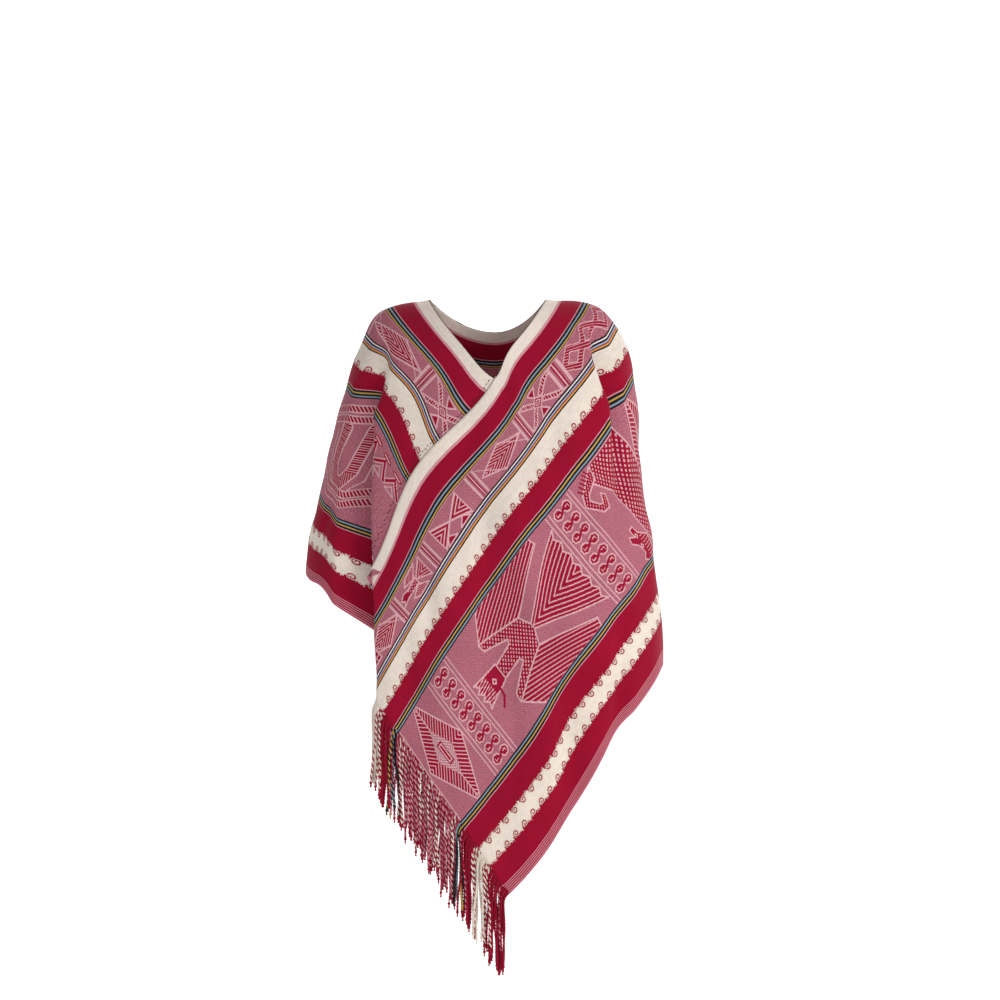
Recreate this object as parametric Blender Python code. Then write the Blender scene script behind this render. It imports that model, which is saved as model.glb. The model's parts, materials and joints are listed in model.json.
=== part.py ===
"""Andean wrap poncho in its worn form, as hollow cloth walls with the fringe it ends in.

One woven rectangle makes the garment.  Its plain end is sewn under the neck edge of its
fringed end, so that the cloth closes into a ring: it passes from the point of the neck over
the right arm, round the back, over the left arm and across the front, where the fringed end
hangs down to one low corner.

Metres, +Z up.  The wearer faces -Y, and the wearer's left is +X.  The origin lies level with
the tops of the shoulders, on the middle line of the body, where the garment is held up.

Two numbers place a point of the cloth.  Its turn is the way round the body as a share of the
ring that it lies on: 0 in the middle of the front, then the right side, the back, the left
side, and 1 in the middle of the front again.  Its drop is the way down from the neck ring.
"""
import bpy
import numpy as np
from math import pi

# ---- The cut, in metres ----
CLOTH_WIDTH = 0.52            # selvedge to selvedge, measured along the weft
NECK_OPENING = 0.84           # the length of selvedge that is left open as the neck
CLOTH_LENGTH = NECK_OPENING + CLOTH_WIDTH
FRINGE_LENGTH = 0.135
WALL = 0.0020
FRINGE_WALL = 0.0040
GAP = 0.0003                  # between pieces that meet
SEAM_GAP = 0.0020             # down the cloth, which leaves GAP where the seam turns the fold

# ---- The worn form: level sections down a general figure with its arms hanging ----
RING_COLUMNS = ("drop", "z_front", "z_right", "z_back", "z_left",
                "x_right", "x_left", "y_front", "y_back", "square")
RINGS = (
    (0.00, -0.072, 0.000, -0.045, 0.000, 0.104, 0.080, 0.105, 0.095, 2.00),
    (0.09, -0.166, -0.025, -0.120, -0.015, 0.188, 0.169, 0.120, 0.112, 2.00),
    (0.15, -0.229, -0.077, -0.175, -0.063, 0.217, 0.205, 0.132, 0.120, 2.10),
    (0.23, -0.315, -0.155, -0.250, -0.140, 0.240, 0.223, 0.140, 0.124, 2.20),
    (0.35, -0.444, -0.271, -0.365, -0.260, 0.269, 0.232, 0.142, 0.122, 2.30),
    (0.48, -0.584, -0.397, -0.492, -0.388, 0.297, 0.250, 0.138, 0.118, 2.35),
    (0.60, -0.712, -0.515, -0.610, -0.507, 0.305, 0.264, 0.134, 0.115, 2.40),
    (0.72, -0.842, -0.635, -0.730, -0.627, 0.308, 0.270, 0.130, 0.113, 2.40),
    (0.86, -0.992, -0.775, -0.870, -0.767, 0.308, 0.270, 0.126, 0.112, 2.40),
)
DEEPEST = RINGS[-1][0]

# ---- Folds, each a trough that runs down the cloth ----
# side: -1 right, +1 left.  face: front or back.  x: its distance from the middle line.
# half: half its width, in half turns.  depth: how far it goes in.  lean: how far its bottom is
# pushed along the cloth, which tucks a deep fold behind the panel beside it.
# start, full, fade: the drops where it begins, where it is complete and where it has gone.
FOLD_COLUMNS = ("side", "face", "x", "half", "depth", "lean", "start", "full", "fade")
NEVER = 9.0
FOLDS = (
    (-1, "front", (0.075, 0.170, 0.208, 0.223), 0.060, 0.080, -0.080, 0.06, 0.42, NEVER),
    (+1, "front", (0.060, 0.158, 0.193, 0.200), 0.045, 0.024, 0.012, 0.05, 0.17, 0.42),
    (+1, "front", (0.010, 0.010, 0.012, 0.016), 0.060, 0.010, 0.000, 0.26, 0.40, 0.72),
    (-1, "front", (0.120, 0.120, 0.120, 0.130), 0.050, 0.007, 0.000, 0.36, 0.52, NEVER),
    (+1, "front", (0.105, 0.105, 0.110, 0.120), 0.055, 0.008, 0.004, 0.40, 0.62, NEVER),
    (+1, "front", (0.185, 0.185, 0.190, 0.195), 0.050, 0.010, 0.000, 0.46, 0.64, NEVER),
    (-1, "back", (0.080, 0.120, 0.150, 0.170), 0.060, 0.022, 0.000, 0.12, 0.40, NEVER),
    (+1, "back", (0.050, 0.060, 0.070, 0.075), 0.050, 0.016, 0.000, 0.10, 0.38, NEVER),
    (+1, "back", (0.090, 0.130, 0.150, 0.165), 0.055, 0.020, 0.000, 0.14, 0.40, NEVER),
)
FOLD_X_DROPS = (0.00, 0.10, 0.20, 0.35)

# ---- Where the weft lines lie on the worn garment: a row for each, at four widths ----
# A place is how it is told, that measure, and its height z.  front: metres from the middle
# line, + to the left, on the foremost cloth.  right_arm, left_arm: the same, on the arm's own
# face.  round: degrees round from the middle of the back, + to the left.
WIDTHS = (0.0, CLOTH_WIDTH / 3, CLOTH_WIDTH * 2 / 3, CLOTH_WIDTH)
WEFT_COLUMNS = ("along", "neck edge", "first third", "second third", "hem")
WEFT_LINES = (
    (0.000, ("round", -180, -0.130), ("front", -0.118, -0.263),
     ("front", -0.184, -0.412), ("round", -135, -0.570)),
    (0.100, ("front", -0.059, -0.067), ("front", -0.160, -0.170),
     ("right_arm", -0.210, -0.317), ("right_arm", -0.216, -0.476)),
    (0.195, ("round", -90, 0.000), ("front", -0.223, -0.112),
     ("front", -0.267, -0.282), ("front", -0.299, -0.442)),
    (0.420, ("round", 0, -0.045), ("round", -7, -0.190),
     ("round", -13, -0.345), ("round", -18, -0.495)),
    (0.645, ("round", 90, 0.000), ("front", 0.202, -0.105),
     ("round", 61, -0.330), ("round", 18, -0.535)),
    (0.750, ("front", 0.031, -0.072), ("front", 0.135, -0.204),
     ("left_arm", 0.242, -0.363), ("round", 54, -0.565)),
    (0.840, ("round", -180, -0.130), ("front", 0.093, -0.260),
     ("front", 0.212, -0.403), ("round", 76, -0.585)),
    (0.940, None, ("front", 0.033, -0.338), ("front", 0.148, -0.479), ("front", 0.258, -0.598)),
    (1.060, None, ("front", -0.027, -0.423), ("front", 0.085, -0.562), ("front", 0.185, -0.687)),
    (1.190, None, ("front", -0.094, -0.522), ("front", 0.017, -0.665), ("front", 0.124, -0.795)),
    (1.360, None, ("front", -0.171, -0.653), ("front", -0.075, -0.787), ("front", 0.023, -0.929)),
)
ARM_FACES = {"right_arm": (-0.68, -0.45), "left_arm": (0.40, 0.60)}   # half turns from the back

# ---- How the walls are divided ----
PANEL_ROWS = 11
FRINGE_ROWS = 2
WIDEST_COLUMN = 0.026         # metres along the ring
SHARPEST_BEND = 26.0          # degrees between one column and the next
BACK_STARTS = 0.385           # turns where one stretch of the cloth ends and the next begins
BACK_ENDS = 0.665
LEAST_HEIGHT = 0.006          # a panel that runs to a point stops at this height
INNER_INSET = 0.010           # turns short of the inner corner, deep in the fold

# ---- Colours, linear ----
CRIMSON = (0.300, 0.0080, 0.022, 1.0)
ROSE = (0.360, 0.105, 0.130, 1.0)
CREAM = (0.720, 0.610, 0.520, 1.0)


def spline(knots, values, at):
    """A smooth curve through the values at the knots, read at any places."""
    knots = np.asarray(knots, float)
    values = np.asarray(values, float)
    at = np.clip(at, knots[0], knots[-1])
    slope = np.gradient(values, knots)
    k = np.clip(np.searchsorted(knots, at, side="right") - 1, 0, len(knots) - 2)
    gap = knots[k + 1] - knots[k]
    t = (at - knots[k]) / gap
    start = (1 + 2 * t) * (1 - t) ** 2 * values[k] + t * (1 - t) ** 2 * gap * slope[k]
    end = t * t * (3 - 2 * t) * values[k + 1] + t * t * (t - 1) * gap * slope[k + 1]
    return start + end


def ease(x):
    """From 0 to 1, with soft ends."""
    x = np.clip(x, 0.0, 1.0)
    return x * x * (3 - 2 * x)


def ring_size(column, drop):
    """One column of the table of rings, at any drop."""
    k = RING_COLUMNS.index(column)
    return spline([row[0] for row in RINGS], [row[k] for row in RINGS], drop)


def smooth_ring(angle, drop):
    """The worn form without its folds.  The angle is -1 to 1 half turns, and 0 is the back."""
    across = np.sin(pi * angle)
    along = np.cos(pi * angle)
    power = 2 / ring_size("square", drop)
    on_right = angle < 0
    in_front = along < 0
    x_half = np.where(on_right, ring_size("x_right", drop), ring_size("x_left", drop))
    y_half = np.where(in_front, ring_size("y_front", drop), ring_size("y_back", drop))
    z_side = np.where(on_right, ring_size("z_right", drop), ring_size("z_left", drop))
    z_middle = np.where(in_front, ring_size("z_front", drop), ring_size("z_back", drop))
    x = x_half * np.sign(across) * np.abs(across) ** power
    y = y_half * np.sign(along) * np.abs(along) ** power
    z = z_side * across ** 2 + z_middle * along ** 2
    return np.stack([x, y, z], axis=-1)


def fold_angle(side, face, x, drop):
    """The angle at which a ring passes a distance x from the middle line."""
    x_half = ring_size("x_right" if side < 0 else "x_left", drop)
    share = np.clip(np.interp(drop, FOLD_X_DROPS, x) / x_half, 0.0, 0.999)
    angle = np.arcsin(share ** (ring_size("square", drop) / 2)) / pi
    return side * (1 - angle if face == "front" else angle)


def worn_form(angle, drop):
    """The worn form with its folds."""
    angle = (angle + 1) % 2 - 1
    point = smooth_ring(angle, drop)
    reach = 0.012
    way = (smooth_ring(angle + reach, drop) - smooth_ring(angle - reach, drop))[..., :2]
    way /= np.linalg.norm(way, axis=-1)[..., None]
    outward = np.stack([-way[..., 1], way[..., 0]], axis=-1)
    for row in FOLDS:
        fold = dict(zip(FOLD_COLUMNS, row))
        at = fold_angle(fold["side"], fold["face"], fold["x"], drop)
        off = (angle - at + 1) % 2 - 1
        share = np.clip(off / fold["half"], -1, 1)
        amount = (1 + np.cos(pi * share)) / 2
        amount = amount * ease((drop - fold["start"]) / (fold["full"] - fold["start"]))
        amount = amount * (1 - ease((drop - fold["full"]) / (fold["fade"] - fold["full"])))
        point[..., :2] -= (fold["depth"] * amount)[..., None] * outward
        point[..., :2] += (fold["lean"] * amount)[..., None] * way
    return point


class Rings:
    """Angles of the worn form at even shares of each ring's own length."""
    ANGLES = 1601
    DROPS = 130
    TURNS = 1201

    def __init__(self):
        angles = np.linspace(-1, 1, self.ANGLES)
        self.drops = np.linspace(0, DEEPEST, self.DROPS)
        points = worn_form(*np.meshgrid(angles, self.drops))
        steps = np.linalg.norm(np.diff(points, axis=1), axis=-1)
        length = np.concatenate([np.zeros((self.DROPS, 1)), np.cumsum(steps, axis=1)], axis=1)
        self.length = length[:, -1]
        share = length / self.length[:, None]
        turns = np.linspace(0, 1, self.TURNS)
        self.angles = np.stack([np.interp(turns, row, angles) for row in share])

    def angle(self, turn, drop):
        """The angle at a turn and a drop."""
        row = np.clip(drop / DEEPEST * (self.DROPS - 1), 0, self.DROPS - 1.001)
        column = (turn % 1) * (self.TURNS - 1)
        r, c = row.astype(int), np.minimum(column.astype(int), self.TURNS - 2)
        row, column = row - r, column - c
        low = self.angles[r, c] * (1 - column) + self.angles[r, c + 1] * column
        high = self.angles[r + 1, c] * (1 - column) + self.angles[r + 1, c + 1] * column
        return low * (1 - row) + high * row


rings = Rings()


def weft_sections():
    """Each weft line's place along the cloth, with its turns and its drops at the four widths."""
    angle, drop = np.meshgrid(np.linspace(-1, 1, 1601), np.linspace(0, DEEPEST, 431))
    points = worn_form(angle, drop)
    x, y, z = np.moveaxis(points, -1, 0)
    steps = np.linalg.norm(np.diff(points, axis=1), axis=-1)
    length = np.concatenate([np.zeros((len(points), 1)), np.cumsum(steps, axis=1)], axis=1)
    share = length / length[:, -1:]

    def found(told, measure, height):
        if told == "round":
            away = np.abs(z - height) + 10 * np.abs(angle - measure / 180)
        else:
            away = np.hypot(x - measure, z - height)
            near = away < away.min() + 0.006
            if told == "front":
                allowed = near & (y < y[near].min() + 0.008)
            else:
                low, high = ARM_FACES[told]
                allowed = (angle > low) & (angle < high)
            away = np.where(allowed, away, np.inf)
        k = np.unravel_index(np.argmin(away), away.shape)
        return share[k], drop[k]

    made = []
    for row in WEFT_LINES:
        line = dict(zip(WEFT_COLUMNS, row))
        along = line["along"]
        places = [line[column] for column in WEFT_COLUMNS[1:]]
        pairs = [(None, None) if place is None else found(*place) for place in places]
        wrapped = along >= NECK_OPENING
        turns = [t if t is None or not wrapped or t > 0.6 else t + 1 for t, _ in pairs]
        made.append((along, tuple(turns), tuple(d for _, d in pairs)))
    return tuple(made)


SECTIONS = weft_sections()


def on_cloth(turn, drop, out=0.0):
    """The point at a turn and a drop, moved outward by a distance."""
    turn, drop, out = np.broadcast_arrays(*(np.asarray(a, float) for a in (turn, drop, out)))

    def middle(t, d):
        return worn_form(rings.angle(t, d), d)
    reach_turn, reach_drop = 0.0012, 0.004
    along = middle(turn + reach_turn, drop) - middle(turn - reach_turn, drop)
    down = (middle(turn, np.minimum(drop + reach_drop, DEEPEST))
            - middle(turn, np.maximum(drop - reach_drop, 0)))
    outward = np.cross(along, down)
    outward /= np.linalg.norm(outward, axis=-1)[..., None]
    return middle(turn, drop) + out[..., None] * outward


def seam_line(width):
    """Turn and drop of the seam, a width down from the point of the neck."""
    return spline(WIDTHS, SECTIONS[0][1], width), spline(WIDTHS, SECTIONS[0][2], width)


def edge_line(station, start, end, count=400):
    """Turn and drop along one long edge of the cloth, between two places along it."""
    rows = [row for row in SECTIONS if row[1][station] is not None]
    knots = [row[0] for row in rows]
    along = np.linspace(start, end, count)
    return (spline(knots, [row[1][station] for row in rows], along),
            spline(knots, [row[2][station] for row in rows], along))


def fringed_line(count=200):
    """Turn and drop along the fringed end, from its lowest corner to its inner corner."""
    width = np.linspace(CLOTH_WIDTH, 0, count)
    inner = [value[-1] for value in seam_line(np.array([CLOTH_WIDTH]))]
    turns = (inner[0] + 1,) + SECTIONS[-1][1][1:]
    drops = (inner[1],) + SECTIONS[-1][2][1:]
    return spline(WIDTHS, turns, width), spline(WIDTHS, drops, width)


def joined(*lines):
    """Several lines as one, with each drop read from its turn."""
    turn = np.concatenate([line[0] for line in lines])
    drop = np.concatenate([line[1] for line in lines])
    order = np.argsort(turn, kind="stable")
    return lambda t: np.interp(t, turn[order], drop[order])


def columns(start, end):
    """Turns from start to end, closer together where the cloth bends sharply."""
    fine = np.linspace(start, end, 1500)
    samples = []
    for drop in (0.10, 0.20, 0.30, 0.40, 0.50, 0.60):
        points = on_cloth(fine, np.full_like(fine, drop))
        step = np.diff(points[:, :2], axis=0)
        heading = np.unwrap(np.arctan2(step[:, 1], step[:, 0]))
        samples.append((np.linalg.norm(step, axis=1), np.abs(np.diff(heading, prepend=heading[0]))))
    lengths = np.max([s[0] for s in samples], axis=0)
    bends = np.max([s[1] for s in samples], axis=0)
    wear = np.cumsum(np.maximum(lengths / WIDEST_COLUMN, bends / np.radians(SHARPEST_BEND)))
    count = int(np.ceil(wear[-1]))
    return np.interp(np.linspace(0, wear[-1], count + 1), np.concatenate([[0], wear]), fine)


def remove_everything():
    for item in list(bpy.data.objects):
        bpy.data.objects.remove(item, do_unlink=True)


def material(name, colour, roughness):
    made = bpy.data.materials.new(name)
    made.use_nodes = True
    shader = made.node_tree.nodes["Principled BSDF"]
    shader.inputs["Base Color"].default_value = colour
    shader.inputs["Roughness"].default_value = roughness
    shader.inputs["Metallic"].default_value = 0.0
    return made


def wall(name, outer, inner, finish):
    """A closed wall between two grids of points that have the same rows and columns."""
    n_columns, n_rows = outer.shape[:2]
    vertices = np.concatenate([outer.reshape(-1, 3), inner.reshape(-1, 3)])
    behind = n_columns * n_rows

    def number(column, row, side=0):
        return column * n_rows + row + side * behind
    faces = []
    for c in range(n_columns - 1):
        for r in range(n_rows - 1):
            faces.append((number(c, r), number(c + 1, r), number(c + 1, r + 1), number(c, r + 1)))
            faces.append((number(c, r, 1), number(c, r + 1, 1), number(c + 1, r + 1, 1),
                          number(c + 1, r, 1)))
    rim = ([(0, r) for r in range(n_rows)]
           + [(c, n_rows - 1) for c in range(1, n_columns)]
           + [(n_columns - 1, r) for r in range(n_rows - 2, -1, -1)]
           + [(c, 0) for c in range(n_columns - 2, 0, -1)])
    for a, b in zip(rim, rim[1:] + rim[:1]):
        faces.append((number(*a), number(*b), number(*b, 1), number(*a, 1)))
    mesh = bpy.data.meshes.new(name)
    mesh.from_pydata(vertices.tolist(), [], faces)
    mesh.validate()
    mesh.update()
    mesh.shade_smooth()
    mesh.set_sharp_from_angle(angle=np.radians(50))
    mesh.materials.append(finish)
    made = bpy.data.objects.new(name, mesh)
    bpy.context.scene.collection.objects.link(made)
    return made


def panel(name, turns, top, bottom, finish):
    """A stretch of cloth between a top and a bottom line."""
    share = np.linspace(0, 1, PANEL_ROWS + 1)
    high, low = top(turns), bottom(turns)
    turn = np.repeat(turns[:, None], PANEL_ROWS + 1, axis=1)
    drop = high[:, None] + (low - high)[:, None] * share
    return wall(name, on_cloth(turn, drop, WALL / 2), on_cloth(turn, drop, -WALL / 2), finish)


def build():
    remove_everything()
    crimson = material("crimson_cloth", CRIMSON, 0.85)
    rose = material("rose_cloth", ROSE, 0.85)
    cream = material("cream_cloth", CREAM, 0.85)
    strands = material("fringe_yarn", CRIMSON, 0.9)

    neck = joined(edge_line(0, 0, NECK_OPENING))
    hem = joined(edge_line(3, 0, CLOTH_LENGTH))
    seam_turn, seam_drop = seam_line(np.linspace(0, CLOTH_WIDTH, 200))
    seam = joined((seam_turn, seam_drop))
    corner_turn = seam_turn[-1]
    fringed = fringed_line()
    low_corner_turn = fringed[0][0]
    fringe_drop = joined(fringed)

    def plain_end_bottom(turn):
        return np.where(turn < corner_turn, seam(turn) - SEAM_GAP / 2, hem(turn))

    def wrapped_end_top(turn):
        return np.where(turn < 1, neck(np.minimum(turn, 1)), seam(np.maximum(turn - 1, 0)) + SEAM_GAP)

    def wrapped_end_bottom(turn):
        return np.where(turn < low_corner_turn, hem(turn), fringe_drop(turn))

    split = GAP / rings.length.min()
    chest = columns(0, corner_turn)
    right = np.concatenate([chest, columns(corner_turn, BACK_STARTS - split)[1:]])
    right = right[plain_end_bottom(right) - neck(right) > LEAST_HEIGHT]
    panel("right_end", right, neck, plain_end_bottom, crimson)
    panel("back", columns(BACK_STARTS + split, BACK_ENDS - split), neck, hem, cream)
    around = np.concatenate([columns(BACK_ENDS + split, low_corner_turn),
                             columns(low_corner_turn, 1)[1:], 1 + chest[1:]])
    around = around[around < 1 + corner_turn - INNER_INSET]
    panel("fringed_end", around, wrapped_end_top, wrapped_end_bottom, rose)

    hung = around[around >= low_corner_turn]
    start = on_cloth(hung, fringe_drop(hung))
    out = on_cloth(hung, fringe_drop(hung), 1.0) - start
    out[:, 2] = 0.0
    out /= np.linalg.norm(out, axis=1)[:, None]
    reach = WALL + GAP + np.linspace(0, FRINGE_LENGTH, FRINGE_ROWS + 1)
    down = start[:, None, :] - reach[None, :, None] * np.array([0.0, 0.0, 1.0])
    half = np.array([WALL] + [FRINGE_WALL] * FRINGE_ROWS) / 2
    spread = out[:, None, :] * half[None, :, None]
    wall("fringe", down + spread, down - spread, strands)


build()
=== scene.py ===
"""How an Andean wrap poncho looks when it is worn: cloth, woven figures, seam and fringe.

The cloth is one woven rectangle.  "along" is the way along its warp, in metres from the plain
end, and "across" is the way across it from the neck edge.  Every piece is drawn in those two
numbers and laid on the worn form, which is the same as the CAD model's.
"""
import bpy
import json
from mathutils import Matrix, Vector
import numpy as np
from math import cos, pi, radians, sin

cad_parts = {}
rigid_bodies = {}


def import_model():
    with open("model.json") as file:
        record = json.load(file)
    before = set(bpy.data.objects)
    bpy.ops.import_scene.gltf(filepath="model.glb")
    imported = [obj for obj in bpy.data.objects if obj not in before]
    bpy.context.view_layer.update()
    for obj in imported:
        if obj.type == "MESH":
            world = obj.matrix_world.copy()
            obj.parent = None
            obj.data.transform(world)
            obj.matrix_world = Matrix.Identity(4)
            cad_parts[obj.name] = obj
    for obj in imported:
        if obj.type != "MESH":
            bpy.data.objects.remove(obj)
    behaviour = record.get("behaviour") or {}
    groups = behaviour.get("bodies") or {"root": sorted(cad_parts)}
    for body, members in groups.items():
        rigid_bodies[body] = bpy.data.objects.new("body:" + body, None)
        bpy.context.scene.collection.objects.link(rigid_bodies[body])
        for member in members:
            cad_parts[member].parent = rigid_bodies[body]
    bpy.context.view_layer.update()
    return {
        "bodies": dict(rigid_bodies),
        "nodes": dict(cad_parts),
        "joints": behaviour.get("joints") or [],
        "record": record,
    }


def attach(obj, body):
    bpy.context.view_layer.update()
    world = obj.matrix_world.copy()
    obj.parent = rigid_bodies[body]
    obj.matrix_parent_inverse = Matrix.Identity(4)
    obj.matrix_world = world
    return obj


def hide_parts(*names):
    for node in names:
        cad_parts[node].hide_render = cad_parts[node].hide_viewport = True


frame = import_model()

# ---- The cut, in metres ----
CLOTH_WIDTH = 0.52
NECK_OPENING = 0.84
CLOTH_LENGTH = NECK_OPENING + CLOTH_WIDTH
HALF_THICKNESS = 0.0007
LAP = 0.008                   # how far the plain end runs under the neck edge
MM = 0.001

# ---- The worn form, with the same tables as the CAD model ----
RING_COLUMNS = ("drop", "z_front", "z_right", "z_back", "z_left",
                "x_right", "x_left", "y_front", "y_back", "square")
RINGS = (
    (0.00, -0.072, 0.000, -0.045, 0.000, 0.104, 0.080, 0.105, 0.095, 2.00),
    (0.09, -0.166, -0.025, -0.120, -0.015, 0.188, 0.169, 0.120, 0.112, 2.00),
    (0.15, -0.229, -0.077, -0.175, -0.063, 0.217, 0.205, 0.132, 0.120, 2.10),
    (0.23, -0.315, -0.155, -0.250, -0.140, 0.240, 0.223, 0.140, 0.124, 2.20),
    (0.35, -0.444, -0.271, -0.365, -0.260, 0.269, 0.232, 0.142, 0.122, 2.30),
    (0.48, -0.584, -0.397, -0.492, -0.388, 0.297, 0.250, 0.138, 0.118, 2.35),
    (0.60, -0.712, -0.515, -0.610, -0.507, 0.305, 0.264, 0.134, 0.115, 2.40),
    (0.72, -0.842, -0.635, -0.730, -0.627, 0.308, 0.270, 0.130, 0.113, 2.40),
    (0.86, -0.992, -0.775, -0.870, -0.767, 0.308, 0.270, 0.126, 0.112, 2.40),
)
DEEPEST = RINGS[-1][0]
FOLD_COLUMNS = ("side", "face", "x", "half", "depth", "lean", "start", "full", "fade")
NEVER = 9.0
FOLDS = (
    (-1, "front", (0.075, 0.170, 0.208, 0.223), 0.060, 0.080, -0.080, 0.06, 0.42, NEVER),
    (+1, "front", (0.060, 0.158, 0.193, 0.200), 0.045, 0.024, 0.012, 0.05, 0.17, 0.42),
    (+1, "front", (0.010, 0.010, 0.012, 0.016), 0.060, 0.010, 0.000, 0.26, 0.40, 0.72),
    (-1, "front", (0.120, 0.120, 0.120, 0.130), 0.050, 0.007, 0.000, 0.36, 0.52, NEVER),
    (+1, "front", (0.105, 0.105, 0.110, 0.120), 0.055, 0.008, 0.004, 0.40, 0.62, NEVER),
    (+1, "front", (0.185, 0.185, 0.190, 0.195), 0.050, 0.010, 0.000, 0.46, 0.64, NEVER),
    (-1, "back", (0.080, 0.120, 0.150, 0.170), 0.060, 0.022, 0.000, 0.12, 0.40, NEVER),
    (+1, "back", (0.050, 0.060, 0.070, 0.075), 0.050, 0.016, 0.000, 0.10, 0.38, NEVER),
    (+1, "back", (0.090, 0.130, 0.150, 0.165), 0.055, 0.020, 0.000, 0.14, 0.40, NEVER),
)
FOLD_X_DROPS = (0.00, 0.10, 0.20, 0.35)

# ---- Where the weft lines lie on the worn garment: a row for each, at four widths ----
# A place is how it is told, that measure, and its height z.  front: metres from the middle
# line, + to the left, on the foremost cloth.  right_arm, left_arm: the same, on the arm's own
# face.  round: degrees round from the middle of the back, + to the left.
WIDTHS = (0.0, CLOTH_WIDTH / 3, CLOTH_WIDTH * 2 / 3, CLOTH_WIDTH)
WEFT_COLUMNS = ("along", "neck edge", "first third", "second third", "hem")
WEFT_LINES = (
    (0.000, ("round", -180, -0.130), ("front", -0.118, -0.263),
     ("front", -0.184, -0.412), ("round", -135, -0.570)),
    (0.100, ("front", -0.059, -0.067), ("front", -0.160, -0.170),
     ("right_arm", -0.210, -0.317), ("right_arm", -0.216, -0.476)),
    (0.195, ("round", -90, 0.000), ("front", -0.223, -0.112),
     ("front", -0.267, -0.282), ("front", -0.299, -0.442)),
    (0.420, ("round", 0, -0.045), ("round", -7, -0.190),
     ("round", -13, -0.345), ("round", -18, -0.495)),
    (0.645, ("round", 90, 0.000), ("front", 0.202, -0.105),
     ("round", 61, -0.330), ("round", 18, -0.535)),
    (0.750, ("front", 0.031, -0.072), ("front", 0.135, -0.204),
     ("left_arm", 0.242, -0.363), ("round", 54, -0.565)),
    (0.840, ("round", -180, -0.130), ("front", 0.093, -0.260),
     ("front", 0.212, -0.403), ("round", 76, -0.585)),
    (0.940, None, ("front", 0.033, -0.338), ("front", 0.148, -0.479), ("front", 0.258, -0.598)),
    (1.060, None, ("front", -0.027, -0.423), ("front", 0.085, -0.562), ("front", 0.185, -0.687)),
    (1.190, None, ("front", -0.094, -0.522), ("front", 0.017, -0.665), ("front", 0.124, -0.795)),
    (1.360, None, ("front", -0.171, -0.653), ("front", -0.075, -0.787), ("front", 0.023, -0.929)),
)
ARM_FACES = {"right_arm": (-0.68, -0.45), "left_arm": (0.40, 0.60)}   # half turns from the back


def hermite(t, gap, ends, slopes):
    """A smooth curve between two values with given slopes, for t from 0 to 1."""
    start = (1 + 2 * t) * (1 - t) ** 2 * ends[0] + t * (1 - t) ** 2 * gap * slopes[0]
    return start + (t * t * (3 - 2 * t) * ends[1] + t * t * (t - 1) * gap * slopes[1])


def spline(knots, values, at):
    """A smooth curve through the values at the knots, read at any places."""
    knots = np.asarray(knots, float)
    values = np.asarray(values, float)
    at = np.clip(at, knots[0], knots[-1])
    slope = np.gradient(values, knots)
    k = np.clip(np.searchsorted(knots, at, side="right") - 1, 0, len(knots) - 2)
    gap = knots[k + 1] - knots[k]
    return hermite((at - knots[k]) / gap, gap, (values[k], values[k + 1]),
                   (slope[k], slope[k + 1]))


def unit(vectors):
    """The vectors at a length of one."""
    return vectors / np.linalg.norm(vectors, axis=-1)[..., None]


def ease(x):
    """From 0 to 1, with soft ends."""
    x = np.clip(x, 0.0, 1.0)
    return x * x * (3 - 2 * x)


def ring_size(column, drop):
    """One column of the table of rings, at any drop."""
    k = RING_COLUMNS.index(column)
    return spline([row[0] for row in RINGS], [row[k] for row in RINGS], drop)


def smooth_ring(angle, drop):
    """The worn form without its folds.  The angle is -1 to 1 half turns, and 0 is the back."""
    sideways, backward = np.sin(pi * angle), np.cos(pi * angle)
    power = 2 / ring_size("square", drop)
    on_right = angle < 0
    in_front = backward < 0
    x_half = np.where(on_right, ring_size("x_right", drop), ring_size("x_left", drop))
    y_half = np.where(in_front, ring_size("y_front", drop), ring_size("y_back", drop))
    z_side = np.where(on_right, ring_size("z_right", drop), ring_size("z_left", drop))
    z_middle = np.where(in_front, ring_size("z_front", drop), ring_size("z_back", drop))
    x = x_half * np.sign(sideways) * np.abs(sideways) ** power
    y = y_half * np.sign(backward) * np.abs(backward) ** power
    z = z_side * sideways ** 2 + z_middle * backward ** 2
    return np.stack([x, y, z], axis=-1)


def fold_angle(side, face, x, drop):
    """The angle at which a ring passes a distance x from the middle line."""
    x_half = ring_size("x_right" if side < 0 else "x_left", drop)
    share = np.clip(np.interp(drop, FOLD_X_DROPS, x) / x_half, 0.0, 0.999)
    angle = np.arcsin(share ** (ring_size("square", drop) / 2)) / pi
    return side * (1 - angle if face == "front" else angle)


def worn_form(angle, drop):
    """The worn form with its folds."""
    angle = (angle + 1) % 2 - 1
    point = smooth_ring(angle, drop)
    reach = 0.012
    way = unit((smooth_ring(angle + reach, drop) - smooth_ring(angle - reach, drop))[..., :2])
    outward = np.stack([-way[..., 1], way[..., 0]], axis=-1)
    for row in FOLDS:
        fold = dict(zip(FOLD_COLUMNS, row))
        at = fold_angle(fold["side"], fold["face"], fold["x"], drop)
        off = (angle - at + 1) % 2 - 1
        amount = (1 + np.cos(pi * np.clip(off / fold["half"], -1, 1))) / 2
        amount = amount * ease((drop - fold["start"]) / (fold["full"] - fold["start"]))
        amount = amount * (1 - ease((drop - fold["full"]) / (fold["fade"] - fold["full"])))
        point[..., :2] -= (fold["depth"] * amount)[..., None] * outward
        point[..., :2] += (fold["lean"] * amount)[..., None] * way
    return point


def ring_lengths(points):
    """How far round its ring each point of the worn form lies."""
    steps = np.linalg.norm(np.diff(points, axis=1), axis=-1)
    return np.concatenate([np.zeros((len(points), 1)), np.cumsum(steps, axis=1)], axis=1)


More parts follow.
